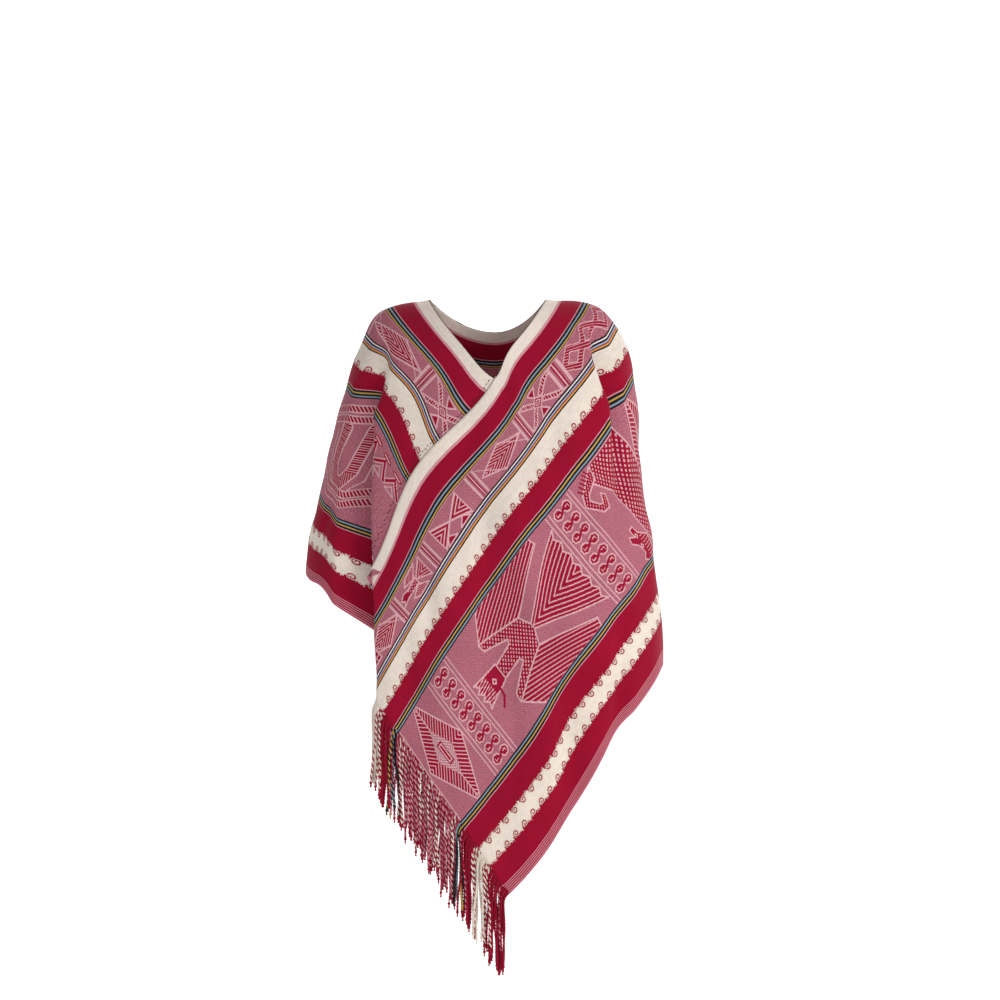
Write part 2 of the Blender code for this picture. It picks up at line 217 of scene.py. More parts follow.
class Rings:
    """Angles of the worn form at even shares of each ring's own length."""
    ANGLES = 1601
    DROPS = 130
    TURNS = 1201

    def __init__(self):
        angles = np.linspace(-1, 1, self.ANGLES)
        length = ring_lengths(worn_form(*np.meshgrid(angles,
                                                     np.linspace(0, DEEPEST, self.DROPS))))
        turns = np.linspace(0, 1, self.TURNS)
        self.angles = np.stack([np.interp(turns, row / row[-1], angles) for row in length])

    def angle(self, turn, drop):
        """The angle at a turn and a drop."""
        row = np.clip(drop / DEEPEST * (self.DROPS - 1), 0, self.DROPS - 1.001)
        column = (turn % 1) * (self.TURNS - 1)
        r, c = row.astype(int), np.minimum(column.astype(int), self.TURNS - 2)
        row, column = row - r, column - c
        low = self.angles[r, c] * (1 - column) + self.angles[r, c + 1] * column
        high = self.angles[r + 1, c] * (1 - column) + self.angles[r + 1, c + 1] * column
        return low * (1 - row) + high * row


rings = Rings()


def weft_sections():
    """Each weft line's place along the cloth, with its turns and its drops at the four widths."""
    angle, drop = np.meshgrid(np.linspace(-1, 1, 1601), np.linspace(0, DEEPEST, 431))
    points = worn_form(angle, drop)
    x, y, z = np.moveaxis(points, -1, 0)
    length = ring_lengths(points)
    share = length / length[:, -1:]

    def found(told, measure, height):
        if told == "round":
            away = np.abs(z - height) + 10 * np.abs(angle - measure / 180)
        else:
            away = np.hypot(x - measure, z - height)
            near = away < away.min() + 0.006
            if told == "front":
                allowed = near & (y < y[near].min() + 0.008)
            else:
                low, high = ARM_FACES[told]
                allowed = (angle > low) & (angle < high)
            away = np.where(allowed, away, np.inf)
        k = np.unravel_index(np.argmin(away), away.shape)
        return share[k], drop[k]

    made = []
    for row in WEFT_LINES:
        line = dict(zip(WEFT_COLUMNS, row))
        along = line["along"]
        places = [line[column] for column in WEFT_COLUMNS[1:]]
        pairs = [(None, None) if place is None else found(*place) for place in places]
        wrapped = along >= NECK_OPENING
        turns = [t if t is None or not wrapped or t > 0.6 else t + 1 for t, _ in pairs]
        made.append((along, tuple(turns), tuple(d for _, d in pairs)))
    return tuple(made)


SECTIONS = weft_sections()


def station_lines(along, part):
    """Turns (part 1) or drops (part 2) at the four widths, at any place along the cloth."""
    lines = []
    for station in range(4):
        rows = [row for row in SECTIONS if row[1][station] is not None]
        lines.append(spline([row[0] for row in rows], [row[part][station] for row in rows], along))
    seam_width = np.clip(along - NECK_OPENING, 0, CLOTH_WIDTH)
    seam = spline(WIDTHS, SECTIONS[0][part], seam_width) + (1.0 if part == 1 else 0.0)
    lines[0] = np.where(along > NECK_OPENING, seam, lines[0])
    return np.stack(lines)


def between_stations(values, across):
    """A smooth curve across the cloth through the values at the four widths."""
    gap = WIDTHS[1]
    slopes = np.stack([(values[1] - values[0]) / gap, (values[2] - values[0]) / (2 * gap),
                       (values[3] - values[1]) / (2 * gap), (values[3] - values[2]) / gap])
    k = np.clip((across / gap).astype(int), 0, 2)

    def pair(table):
        return [np.take_along_axis(table, which[None], 0)[0] for which in (k, k + 1)]
    return hermite(across / gap - k, gap, pair(values), pair(slopes))


def middle_of_cloth(along, across):
    """The point of the worn form where a point of the flat cloth lies."""
    inside = np.clip(along, 0.0, CLOTH_LENGTH)
    turn = between_stations(station_lines(inside, 1), across)
    drop = between_stations(station_lines(inside, 2), across)
    return worn_form(rings.angle(turn, drop), drop)


# The front lies nearly flat, so a place on it is close to a plain slant of the flat cloth:
# how far a metre of warp and a metre of weft lead across the body and down it.
NECK_POINT = {"x": -0.012, "depth": 0.131}
WARP_LEADS = {"x": -0.544, "depth": 0.794}
WEFT_LEADS = {"x": 0.611, "depth": 0.744}

# Soft creases of the front, which hang straight down: places across the body and down it.
CREASE_COLUMNS = ("x", "half", "height", "start", "end")
CREASES = (
    (-0.012, 0.030, -0.0050, 0.26, 0.62),
    (0.038, 0.030, 0.0030, 0.20, 0.56),
    (0.084, 0.026, -0.0034, 0.34, 0.60),
    (-0.075, 0.034, 0.0032, 0.24, 0.60),
    (-0.105, 0.022, -0.0026, 0.40, 0.70),
    (0.120, 0.024, 0.0030, 0.36, 0.62),
    (0.020, 0.018, -0.0022, 0.60, 0.86),
    (-0.045, 0.020, -0.0020, 0.52, 0.80),
)

# The same for the arms and the back, where the weft hangs nearly straight down: places along
# the cloth and across it.
HIDDEN_COLUMNS = ("along", "half", "height", "start", "end")
HIDDEN_CREASES = (
    (0.150, 0.024, -0.0026, 0.22, 0.50),
    (0.232, 0.030, 0.0030, 0.14, 0.44),
    (0.298, 0.020, -0.0034, 0.20, 0.51),
    (0.352, 0.028, 0.0024, 0.26, 0.48),
    (0.408, 0.022, -0.0030, 0.12, 0.42),
    (0.466, 0.034, 0.0034, 0.24, 0.52),
    (0.531, 0.021, -0.0024, 0.18, 0.46),
    (0.588, 0.026, 0.0028, 0.28, 0.51),
    (0.668, 0.024, -0.0030, 0.16, 0.40),
    (0.742, 0.028, 0.0024, 0.22, 0.48),
)


def slanted(way, along, across):
    """Where a place of the flat cloth lies on the front, across the body or down it."""
    return NECK_POINT[way] + WARP_LEADS[way] * (along - NECK_OPENING) + WEFT_LEADS[way] * across


def creases(columns, table, place, length):
    """How far a table of soft creases stands off, by a place across them and one down them."""
    height = np.zeros_like(place)
    for row in table:
        crease = dict(zip(columns, row))
        share = np.clip((place - crease[columns[0]]) / crease["half"], -1, 1)
        ends = ease((length - crease["start"]) / 0.12) * ease((crease["end"] - length) / 0.12)
        height = height + crease["height"] * (1 + np.cos(pi * share)) / 2 * ends
    return height


def relief(along, across):
    """How far the cloth stands off the worn form: soft creases, and the lap at the seam."""
    waves = (0.0011 * np.sin(along * 39 + 6 * across) * np.sin(across * 21 + 1.3)
             + 0.0008 * np.sin(along * 71 - across * 33 + 2.0)
             + 0.0005 * np.sin(across * 90 + 7 * np.sin(along * 11)))
    front = ease((along - 0.80) / 0.10)
    waves = waves + front * creases(CREASE_COLUMNS, CREASES, slanted("x", along, across),
                                    slanted("depth", along, across))
    waves = waves + (1 - front) * creases(HIDDEN_COLUMNS, HIDDEN_CREASES, along, across)
    edge = ease(across / 0.05) * ease((CLOTH_WIDTH - across) / 0.02 + 0.4)
    stand_off = waves * edge
    over = ease((along - NECK_OPENING + 0.03) / 0.05) * (1 - ease((across - 0.004) / 0.030))
    under = 1 - ease((along - 0.002) / 0.020)
    return stand_off * (1 - over) * (1 - under) + 0.0016 * over - 0.0010 * under


def on_cloth(along, across, out=0.0):
    """The point of the worn cloth at a place of the flat cloth, moved outward by a distance."""
    along, across, out = np.broadcast_arrays(*(np.asarray(a, float) for a in (along, across, out)))
    reach = 0.0025
    low_a = np.maximum(along - reach, 0)
    high_a = np.clip(along + reach, reach, CLOTH_LENGTH)
    low_b, high_b = np.maximum(across - reach, 0), np.minimum(across + reach, CLOTH_WIDTH)
    base = middle_of_cloth(along, across)
    way = (middle_of_cloth(high_a, across) - middle_of_cloth(low_a, across))
    way /= np.maximum(high_a - low_a, 1e-6)[..., None]
    down = middle_of_cloth(along, high_b) - middle_of_cloth(along, low_b)
    outward = unit(np.cross(way, down))
    base = base + np.minimum(along, 0)[..., None] * way
    return base + (out + relief(along, across))[..., None] * outward


# ---- Colours, linear ----
CREAM = (0.720, 0.630, 0.550)
CRIMSON = (0.275, 0.0015, 0.021)
PINK = (0.560, 0.240, 0.290)
ROSE_DEEP = (0.215, 0.024, 0.048)
ROSE_PALE = (0.500, 0.190, 0.240)
BLACK = (0.010, 0.008, 0.014)
GOLD = (0.480, 0.290, 0.065)
SKY = (0.200, 0.285, 0.345)
LAVENDER = (0.330, 0.330, 0.470)
ORANGE = (0.640, 0.270, 0.070)
RUSSET = (0.200, 0.030, 0.018)
WHITE = (0.700, 0.640, 0.610)
NECK_LINE = (0.060, 0.030, 0.024)
# Yarns of one colour: the darkest and the palest shade of each.
CRIMSON_FLOATS = ((0.235, 0.002, 0.018), (0.330, 0.006, 0.036))
PALE_FLOATS = ((0.520, 0.250, 0.280), (0.700, 0.430, 0.450))
CREAM_FLOATS = ((0.62, 0.50, 0.44), (0.78, 0.68, 0.60))
SEWING_THREAD = ((0.012, 0.008, 0.010), (0.05, 0.03, 0.03))

# ---- Warp stripes: where each ends, in mm from the neck edge, and its yarn ----
STRIPES = (
    (21, CREAM), (25.5, PINK), (56.5, CRIMSON), (58.2, PINK), (62, BLACK), (64.6, SKY),
    (68, BLACK), (70.4, GOLD), (71.8, BLACK), (73.2, PINK), (120, ROSE_PALE), (122.4, BLACK),
    (124.4, WHITE), (127, BLACK), (129.2, LAVENDER), (130.8, RUSSET), (133, ORANGE),
    (135.2, BLACK), (167, CREAM), (198.6, CRIMSON), (200, PINK), (203, BLACK), (205, GOLD),
    (207.8, BLACK), (209.8, SKY), (211.8, BLACK), (383, ROSE_PALE), (385.4, BLACK), (387.4, SKY),
    (390.2, BLACK), (392.2, GOLD), (395.2, BLACK), (396.6, PINK), (434, CRIMSON), (464, CREAM),
    (502.6, CRIMSON), (503.8, PINK), (505.9, CRIMSON), (507.1, PINK), (509.2, CRIMSON),
    (510.4, PINK), (512.5, CRIMSON), (513.7, PINK), (515.8, CRIMSON), (517.0, PINK),
    (518.4, CRIMSON), (525, PINK),
)
FIGURED_BANDS = ((73.2, 120.0), (211.8, 383.0))
# Stripe edges that a running-dog border breaks: 1 where the cream is on the neck edge's side.
SCROLL_EDGES = ((167, 1), (434, -1), (464, 1))
SCROLL_PITCH = 22.0

# ---- The weave, in metres ----
WARP_RIB, WEFT_RIB, TWILL = 0.0019, 0.0026, 0.0034
EDGE_WANDER = 0.0010          # how far the edge of a stripe strays
BREAK_SLANT = 0.0042          # how far a scroll edge slants in each repeat of the border
BREAK_SPECKLE = 0.011         # how far its broken yarns reach
NECK_LINE_WIDTH = 0.0013


class Look:
    """The nodes of one material, added one after another."""

    def __init__(self, name):
        self.material = bpy.data.materials.new(name)
        self.material.use_nodes = True
        self.tree = self.material.node_tree
        self.shader = self.tree.nodes["Principled BSDF"]
        self.shader.inputs["Roughness"].default_value = 0.94
        self.shader.inputs["Specular IOR Level"].default_value = 0.12
        self.shader.inputs["Sheen Weight"].default_value = 0.07
        self.shader.inputs["Sheen Roughness"].default_value = 0.45

    def node(self, kind, inputs=(), **settings):
        made = self.tree.nodes.new(kind)
        for key, value in settings.items():
            setattr(made, key, value)
        for key, value in dict(inputs).items():
            if isinstance(value, bpy.types.NodeSocket):
                self.tree.links.new(value, made.inputs[key])
            else:
                made.inputs[key].default_value = value
        return made

    def math(self, operation, a, b=0.0, c=0.0):
        return self.node("ShaderNodeMath", {0: a, 1: b, 2: c}, operation=operation).outputs[0]

    def mix(self, share, a, b):
        colours = {6: a, 7: b}
        inputs = {k: v if isinstance(v, bpy.types.NodeSocket) else (*v, 1.0)
                  for k, v in colours.items()}
        inputs[0] = share
        return self.node("ShaderNodeMix", inputs, data_type="RGBA").outputs[2]

    def scaled(self, x, y, x_scale, y_scale):
        return self.node("ShaderNodeCombineXYZ", {0: self.math("MULTIPLY", x, x_scale),
                                                  1: self.math("MULTIPLY", y, y_scale)}).outputs[0]

    def noise(self, vector, detail=2.0):
        return self.node("ShaderNodeTexNoise", {"Vector": vector, "Scale": 1.0,
                                                "Detail": detail}).outputs[0]

    def cloth_place(self):
        uv = self.node("ShaderNodeUVMap", uv_map="cloth").outputs[0]
        parts = self.node("ShaderNodeSeparateXYZ", {0: uv})
        return parts.outputs[0], parts.outputs[1]

    def yarn(self, colour, along, across, contrast, relief_size=0.0005):
        """Flecks of the yarn over a colour, the weave's relief, and both to the shader."""
        flecks = self.noise(self.scaled(along, across, 260.0, 760.0), detail=3.0)
        patches = self.noise(self.scaled(along, across, 95.0, 150.0), detail=2.0)
        broad = self.noise(self.scaled(along, across, 12.0, 16.0), detail=1.0)
        tone = self.math("MULTIPLY_ADD", flecks, contrast, 1.0 - contrast / 2)
        tone = self.math("MULTIPLY", tone, self.math("MULTIPLY_ADD", patches, 0.26, 0.87))
        tone = self.math("MULTIPLY", tone, self.math("MULTIPLY_ADD", broad, 0.20, 0.90))
        shades = self.node("ShaderNodeCombineXYZ", {0: tone, 1: tone, 2: tone}).outputs[0]
        base = self.node("ShaderNodeMix", {0: 1.0, 6: colour, 7: shades}, data_type="RGBA",
                         blend_type="MULTIPLY").outputs[2]
        self.tree.links.new(base, self.shader.inputs["Base Color"])
        warp_rib = self.math("SINE", self.math("MULTIPLY", across, 2 * pi / WARP_RIB))
        weft_rib = self.math("SINE", self.math("MULTIPLY", along, 2 * pi / WEFT_RIB))
        ribs = self.math("MULTIPLY", warp_rib, weft_rib)
        height = self.math("MULTIPLY_ADD", ribs, 0.35, flecks)
        height = self.math("ADD", height, self.math("MULTIPLY", patches, 0.8))
        bump = self.node("ShaderNodeBump", {"Strength": 0.45, "Distance": relief_size,
                                            "Height": height})
        self.tree.links.new(bump.outputs[0], self.shader.inputs["Normal"])
        return self.material


def striped_cloth(name, contrast=0.42):
    """The stripes and the figured bands' ground, by the place across the flat cloth."""
    look = Look(name)
    along, across = look.cloth_place()
    wander = look.noise(look.scaled(along, across, 60.0, 9.0), detail=2.0)
    straight = look.math("MULTIPLY_ADD", wander, EDGE_WANDER,
                         look.math("SUBTRACT", across, EDGE_WANDER / 2))
    speckle = look.noise(look.scaled(along, across, 620.0, 620.0), detail=0.0)
    slant = look.math("SUBTRACT", look.math("FRACT", look.math("DIVIDE", along,
                                                               SCROLL_PITCH * MM)), 0.5)
    broken = {}
    for edge, side in SCROLL_EDGES:
        moved = look.math("MULTIPLY_ADD", slant, BREAK_SLANT * side, across)
        broken[edge] = look.math("MULTIPLY_ADD", speckle, BREAK_SPECKLE,
                                 look.math("SUBTRACT", moved, BREAK_SPECKLE / 2))
    colour = (*STRIPES[0][1], 1.0)
    for (edge, _), (_, after) in zip(STRIPES, STRIPES[1:]):
        beyond = look.math("GREATER_THAN", broken.get(edge, straight), edge * MM)
        colour = look.mix(beyond, colour[:3] if isinstance(colour, tuple) else colour, after)
    ground = 0.0
    for low, high in FIGURED_BANDS:
        away = look.math("ABSOLUTE", look.math("SUBTRACT", straight, (low + high) / 2 * MM))
        inside = look.math("LESS_THAN", away, (high - low) / 2 * MM)
        ground = look.math("ADD", inside, ground)
    twill = look.math("SINE", look.math("MULTIPLY", look.math("ADD", along, across),
                                        2 * pi / TWILL))
    blend = look.noise(look.scaled(along, across, 520.0, 900.0), detail=2.0)
    blend = look.math("MULTIPLY_ADD", look.math("SUBTRACT", blend, 0.5), 2.3, 0.56)
    blend = look.math("MULTIPLY_ADD", twill, 0.13, blend)
    blend = look.node("ShaderNodeClamp", {0: blend}).outputs[0]
    colour = look.mix(ground, colour, look.mix(blend, ROSE_DEEP, ROSE_PALE))
    bound = look.math("MULTIPLY", look.math("LESS_THAN", across, NECK_LINE_WIDTH),
                      look.math("LESS_THAN", along, NECK_OPENING - 0.004))
    colour = look.mix(bound, colour, NECK_LINE)
    return look.yarn(colour, along, across, contrast)


def plain_yarn(name, shades, contrast=0.42):
    """Yarn of one colour, between two shades of it."""
    look = Look(name)
    along, across = look.cloth_place()
    blend = look.noise(look.scaled(along, across, 300.0, 520.0), detail=2.0)
    return look.yarn(look.mix(blend, *shades), along, across, contrast, 0.0003)


def placed(name, data):
    """A new object in the scene."""
    made = bpy.data.objects.new(name, data)
    bpy.context.scene.collection.objects.link(made)
    return made


def piece(name, points, faces, place, finish):
    """A mesh piece whose points carry their places on the flat cloth."""
    mesh = bpy.data.meshes.new(name)
    mesh.from_pydata(np.asarray(points).tolist(), [], [tuple(int(i) for i in f) for f in faces])
    mesh.update()
    corners = np.zeros(len(mesh.loops), int)
    mesh.loops.foreach_get("vertex_index", corners)
    layer = mesh.uv_layers.new(name="cloth")
    layer.data.foreach_set("uv", np.asarray(place, np.float32)[corners].ravel())
    mesh.shade_smooth()
    mesh.materials.append(finish)
    made = placed(name, mesh)
    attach(made, "root")
    return made


# ---- The cloth ----
STEP = 0.004
grid_along = np.linspace(0, CLOTH_LENGTH, round(CLOTH_LENGTH / STEP) + 1)
grid_across = np.linspace(0, CLOTH_WIDTH, round(CLOTH_WIDTH / STEP) + 1)
flat_grid = np.meshgrid(grid_along, grid_across, indexing="ij")
mid_grid = on_cloth(*flat_grid)
out_grid = (on_cloth(*flat_grid, HALF_THICKNESS) - mid_grid) / HALF_THICKNESS


def laid(along, across, out):
    """Points a distance off the middle of the cloth, read between the grid's own points."""
    along, across, out = np.broadcast_arrays(*(np.asarray(a, float) for a in (along, across, out)))
    a, b = along / STEP, across / STEP
    i = np.clip(a.astype(int), 0, len(grid_along) - 2)
    j = np.clip(b.astype(int), 0, len(grid_across) - 2)
    a, b = (a - i)[..., None], (b - j)[..., None]

    def read(grid):
        near = grid[i, j] * (1 - b) + grid[i, j + 1] * b
        far = grid[i + 1, j] * (1 - b) + grid[i + 1, j + 1] * b
        return near * (1 - a) + far * a
    return read(mid_grid) + out[..., None] * read(out_grid)


def shell(name, along, across, finish):
    """A closed wall of cloth over a grid of the flat cloth."""
    flat = np.meshgrid(along, across, indexing="ij")
    sides = [on_cloth(*flat, out) for out in (HALF_THICKNESS, -HALF_THICKNESS)]
    rows, columns = len(along), len(across)
    numbers = np.arange(rows * columns).reshape(rows, columns)
    behind = rows * columns
    a, b = numbers[:-1, :-1].ravel(), numbers[:-1, 1:].ravel()
    c, d = numbers[1:, 1:].ravel(), numbers[1:, :-1].ravel()
    outer = np.stack([a, d, c, b], axis=1)
    faces = [outer, outer[:, ::-1] + behind]
    rim = np.concatenate([numbers[:, 0], numbers[-1, 1:], numbers[-2::-1, -1], numbers[0, -2:0:-1]])
    rim = rim[::-1]
    after = np.roll(rim, -1)
    faces.append(np.stack([rim, after, after + behind, rim + behind], axis=1))
    points = np.concatenate([side.reshape(-1, 3) for side in sides])
    place = np.stack([part.ravel() for part in flat], axis=1)
    return piece(name, points, np.concatenate(faces), np.concatenate([place, place]), finish)


cloth_look = striped_cloth("striped_cloth")
lap_rows = np.array([-LAP, -LAP / 2])
cloth = shell("cloth", np.concatenate([lap_rows, grid_along]), grid_across, cloth_look)
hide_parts("right_end", "back", "fringed_end")


# ---- The woven figures, drawn on a chart with a cell for every millimetre of the cloth ----
CELL = MM
GROUND, DARK, PALE = 0, 1, 2
OUTLINE = 2.4                 # width of a figure's pale outline, in mm
NARROW_MIDDLE = 96.5          # about the middle of each figured band, in mm from the neck edge
WIDE_MIDDLE = 297


class Chart:
    """Cells of the flat cloth.  A figure is drawn in mm about a place."""

    def __init__(self):
        self.cells = np.zeros((round(CLOTH_LENGTH / CELL), round(CLOTH_WIDTH / CELL)), np.uint8)
        self.along, self.across = np.meshgrid(np.arange(self.cells.shape[0]) + 0.5,
                                              np.arange(self.cells.shape[1]) + 0.5, indexing="ij")
        self.band = FIGURED_BANDS[1]

    def at(self, along, across):
        """Moves the pen: p runs along the cloth and q across it."""
        self.p = self.along - along
        self.q = self.across - across
        return self

    def paint(self, where, shade):
        """Gives cells a shade, inside the band that is being drawn."""
        low, high = self.band
        where = where & (self.across > low + 1) & (self.across < high - 1)
        self.cells[where] = shade

    def inside(self, points):
        """The cells inside a polygon."""
        found = np.zeros(self.p.shape, bool)
        for (p1, q1), (p2, q2) in zip(points, points[1:] + points[:1]):
            if q1 != q2:
                crosses = (q1 > self.q) != (q2 > self.q)
                found ^= crosses & (self.p < (p2 - p1) * (self.q - q1) / (q2 - q1) + p1)
        return found

    def near(self, points, width, closed=False):
        """The cells within half a width of a line."""
        found = np.zeros(self.p.shape, bool)
        ends = points[1:] + points[:1] if closed else points[1:]
        for (p1, q1), (p2, q2) in zip(points, ends):
            dp, dq = p2 - p1, q2 - q1
            share = np.clip(((self.p - p1) * dp + (self.q - q1) * dq) / max(dp * dp + dq * dq, 1e-9),
                            0, 1)
            found |= np.hypot(self.p - p1 - share * dp, self.q - q1 - share * dq) < width / 2
        return found

    def solid(self, points, hatch=None):
        """A dark figure with a pale outline, and pale lines where the hatch is true."""
        body = self.inside(points)
        self.paint(body, DARK)
        if hatch is not None:
            self.paint(body & hatch, PALE)
        self.paint(self.near(points, OUTLINE, closed=True), PALE)

    def line(self, points, width, shade=PALE):
        """A line of one shade."""
        self.paint(self.near(points, width), shade)

    def barred_line(self, points):
        """A dark line with pale edges and slanting pale bars."""
        self.line(points, 12.0)
        core = self.near(points, 8.6)
        self.paint(core, DARK)
        self.paint(core & self.rows(self.p + self.q, 6.0, 0.26), PALE)

    def rows(self, value, pitch, share):
        """Where lines of a pitch are pale, for a share of it."""
        return (value / pitch) % 1 < share

    def net(self, size=7.6):
        """A lattice of small pale lozenges."""
        a, b = (self.p + self.q) / size, (self.p - self.q) / size
        return (np.abs(a % 1 - 0.5) < 0.27) & (np.abs(b % 1 - 0.5) < 0.20)


def mirrored(points):
    """The points with their mirror images across the middle line."""
    return points + [(p, -q) for p, q in reversed(points)]


def hooks_band(chart, along):
    """A row of paired six-sided hooks between two pairs of pale lines."""
    low, high = chart.band
    for line in (-29, -22, 22, 29):
        chart.at(along + line, 0).line([(0, low), (0, high)], 1.9)
    lobe = [(2, 0), (5, 5), (10, 6.5), (16, 3), (16.5, -2), (12, -6), (6, -5.5)]
    ends = [lobe, [(-p, -q) for p, q in lobe]]
    for place in np.arange(low + 13, high - 6, 20.5):
        chart.at(along, place)
        for end in ends:
            chart.paint(chart.near(end, 4.4, closed=True), PALE)
        for end in ends:
            chart.paint(chart.inside(end), DARK)
        chart.line([(5, 3), (-5, -3)], 4.0, DARK)
        for side in (-1, 1):
            chart.line([(side * 7, side * 1.0), (side * 12.5, side * 1.5),
                        (side * 12.5, side * -2.0)], 1.5)


def condor(chart, along):
    """A condor from above: a fan tail, swept wings, a netted body and a crested head."""
    chart.at(along, WIDE_MIDDLE)
    p, q = chart.p, chart.q
    side = np.abs(q)
    wing = [(-112, 72), (0, 24), (84, 50), (46, 92), (-104, 92)]
    feathers = chart.rows((p * 42 + side * 112) / 119.6, 5.9, 0.25)
    for sign in (-1, 1):
        chart.solid([(a, b * sign) for a, b in wing], feathers)
    steps = 12
    tail = [(-4, 0)]
    for k in range(steps + 1):
        tail.append((-141 if k % 2 else -148, 66 - 132 * k / steps))
    fan = -p * 66 / 145 - side
    chart.solid(tail, chart.rows(fan + 1.0, 7.4, 0.26))
    body = mirrored([(-14, 4), (-2, 25), (84, 51), (82, 38), (36, 19), (40, 13), (84, 11)])
    chart.solid(body, chart.net())
    head = [(80, -14), (108, -18), (134, -22), (126, -13), (135, -9), (127, -1), (135, 4),
            (127, 11), (132, 20), (108, 15), (98, 15), (80, 12)]
    chart.solid(head, (p > 108) & chart.rows(q + (p - 108) * 0.1 * np.sign(q), 4.4, 0.34))
    chart.line([(98, 14), (100, 24), (112, 34)], 3.6, DARK)
    chart.line([(95, 0), (99, 4), (103, 0), (99, -4), (95, 0)], 1.8)


def big_lozenge(chart, along):
    """A wide lozenge with a barred border and feathered middle."""
    chart.at(along, WIDE_MIDDLE)
    p, q = chart.p, chart.q
    reach = np.abs(p) / 46 + np.abs(q) / 90
    bars = chart.rows(np.abs(q) - np.abs(p), 7.6, 0.24)
    corners = [(-46, 0), (0, -90), (46, 0), (0, 90)]
    chart.solid(corners, bars)
    seam = (np.abs(p) < 1.2) & (reach > 0.44)
    chart.paint(seam & (reach < 1), PALE)
    middle = reach < 0.46
    chart.paint(middle, PALE)
    chart.paint(middle & chart.rows(np.abs(q) + np.abs(p), 5.0, 0.36), GROUND)
    for p_half, q_half, shade in ((6.5, 18, DARK), (4.2, 15.5, PALE), (1.8, 13, DARK)):
        chart.paint((np.abs(p) < p_half) & (np.abs(q) < q_half), shade)
    chart.at(along + 51, 0).line([(0, 211), (0, 383)], 1.8)


def feline(chart, along):
    """A feline with a netted body, a curled tail, a clawed leg and a head with two eyes."""
    chart.at(along, WIDE_MIDDLE)
    body = [(-62, -84), (20, -84), (34, -70), (48, -66), (14, -34), (10, 20), (-4, 62), (-20, 84),
            (-62, 84)]
    chart.solid(body, chart.net(8.4))
    leg = [(26, -82), (78, -62), (86, -48), (66, -24), (48, -22), (36, -40), (44, -46), (54, -34),
           (62, -36), (72, -50), (66, -56), (30, -66)]
    chart.solid(leg, chart.net(7.0))
    for k in range(6):
        chart.line([(38 + 7 * k, -76 + 2.6 * k), (44 + 7 * k, -84 + 2.6 * k)], 3.0, DARK)
    chart.solid([(4, 50), (30, 34), (34, 22), (46, 24), (44, 38), (58, 32), (62, 42), (46, 54),
                 (40, 70), (52, 80), (40, 86), (4, 82)],
                chart.rows(chart.q, 6.0, 0.25) & (chart.p < 30))
    for eye in (38, 58):
        chart.line([(34, eye), (38, eye + 4), (42, eye), (38, eye - 4), (34, eye)], 1.8)


def meander(chart, along):
    """A U-shaped meander in a six-sided frame of barred lines."""
    chart.at(along, WIDE_MIDDLE)
    p, q = chart.p, chart.q
    bend = [(26, -40), (26, 18), (10, 40), (-8, 40), (-22, 18), (-22, -40)]
    comb = chart.rows(np.where(q < 20, q, p * 0.8 + q * 0.3), 3.4, 0.3)
    band = chart.near(bend, 19)
    chart.paint(chart.near(bend, 23.4), PALE)
    chart.paint(band, DARK)
    chart.paint(band & comb, PALE)
    for top, turn in ((-70, 1), (-55, 1), (52, -1), (67, -1)):
        frame = [(62, top + 16 * turn), (30, top), (-30, top), (-62, top + 16 * turn)]
        chart.barred_line(frame)
    for way in (-1, 1):
        chart.line([(way * 46, -30), (way * 46, 26), (way * 30, 44)], 1.9)


def triangles(chart, along, low, count):
    """A zigzag of small outlined triangles, each with a barred tip."""
    pitch, height = 26.0, 20.0
    zigzag = [(-pitch / 2, height), (0, 0), (pitch / 2, height)]
    inner = [(-7, height + 3), (0, height - 7), (7, height + 3), (-7, height + 3)]
    for k in range(count):
        chart.at(along + pitch * k, low)
        chart.line(zigzag, 6.4)
        chart.line(zigzag, 3.6, DARK)
        chart.line(inner, 1.5)
        chart.line([(-6, -5), (6, -5)], 5.6, DARK)
        chart.line([(-6, -5), (6, -5)], 1.6)


def slanting_bars(chart, along):
    """Two barred lines side by side, bent once, beside the meander."""
    chart.at(along, WIDE_MIDDLE)
    for shift in (0, 16):
        chart.barred_line([(-34 + shift, 60), (-8 + shift, 6), (8 + shift, -40)])


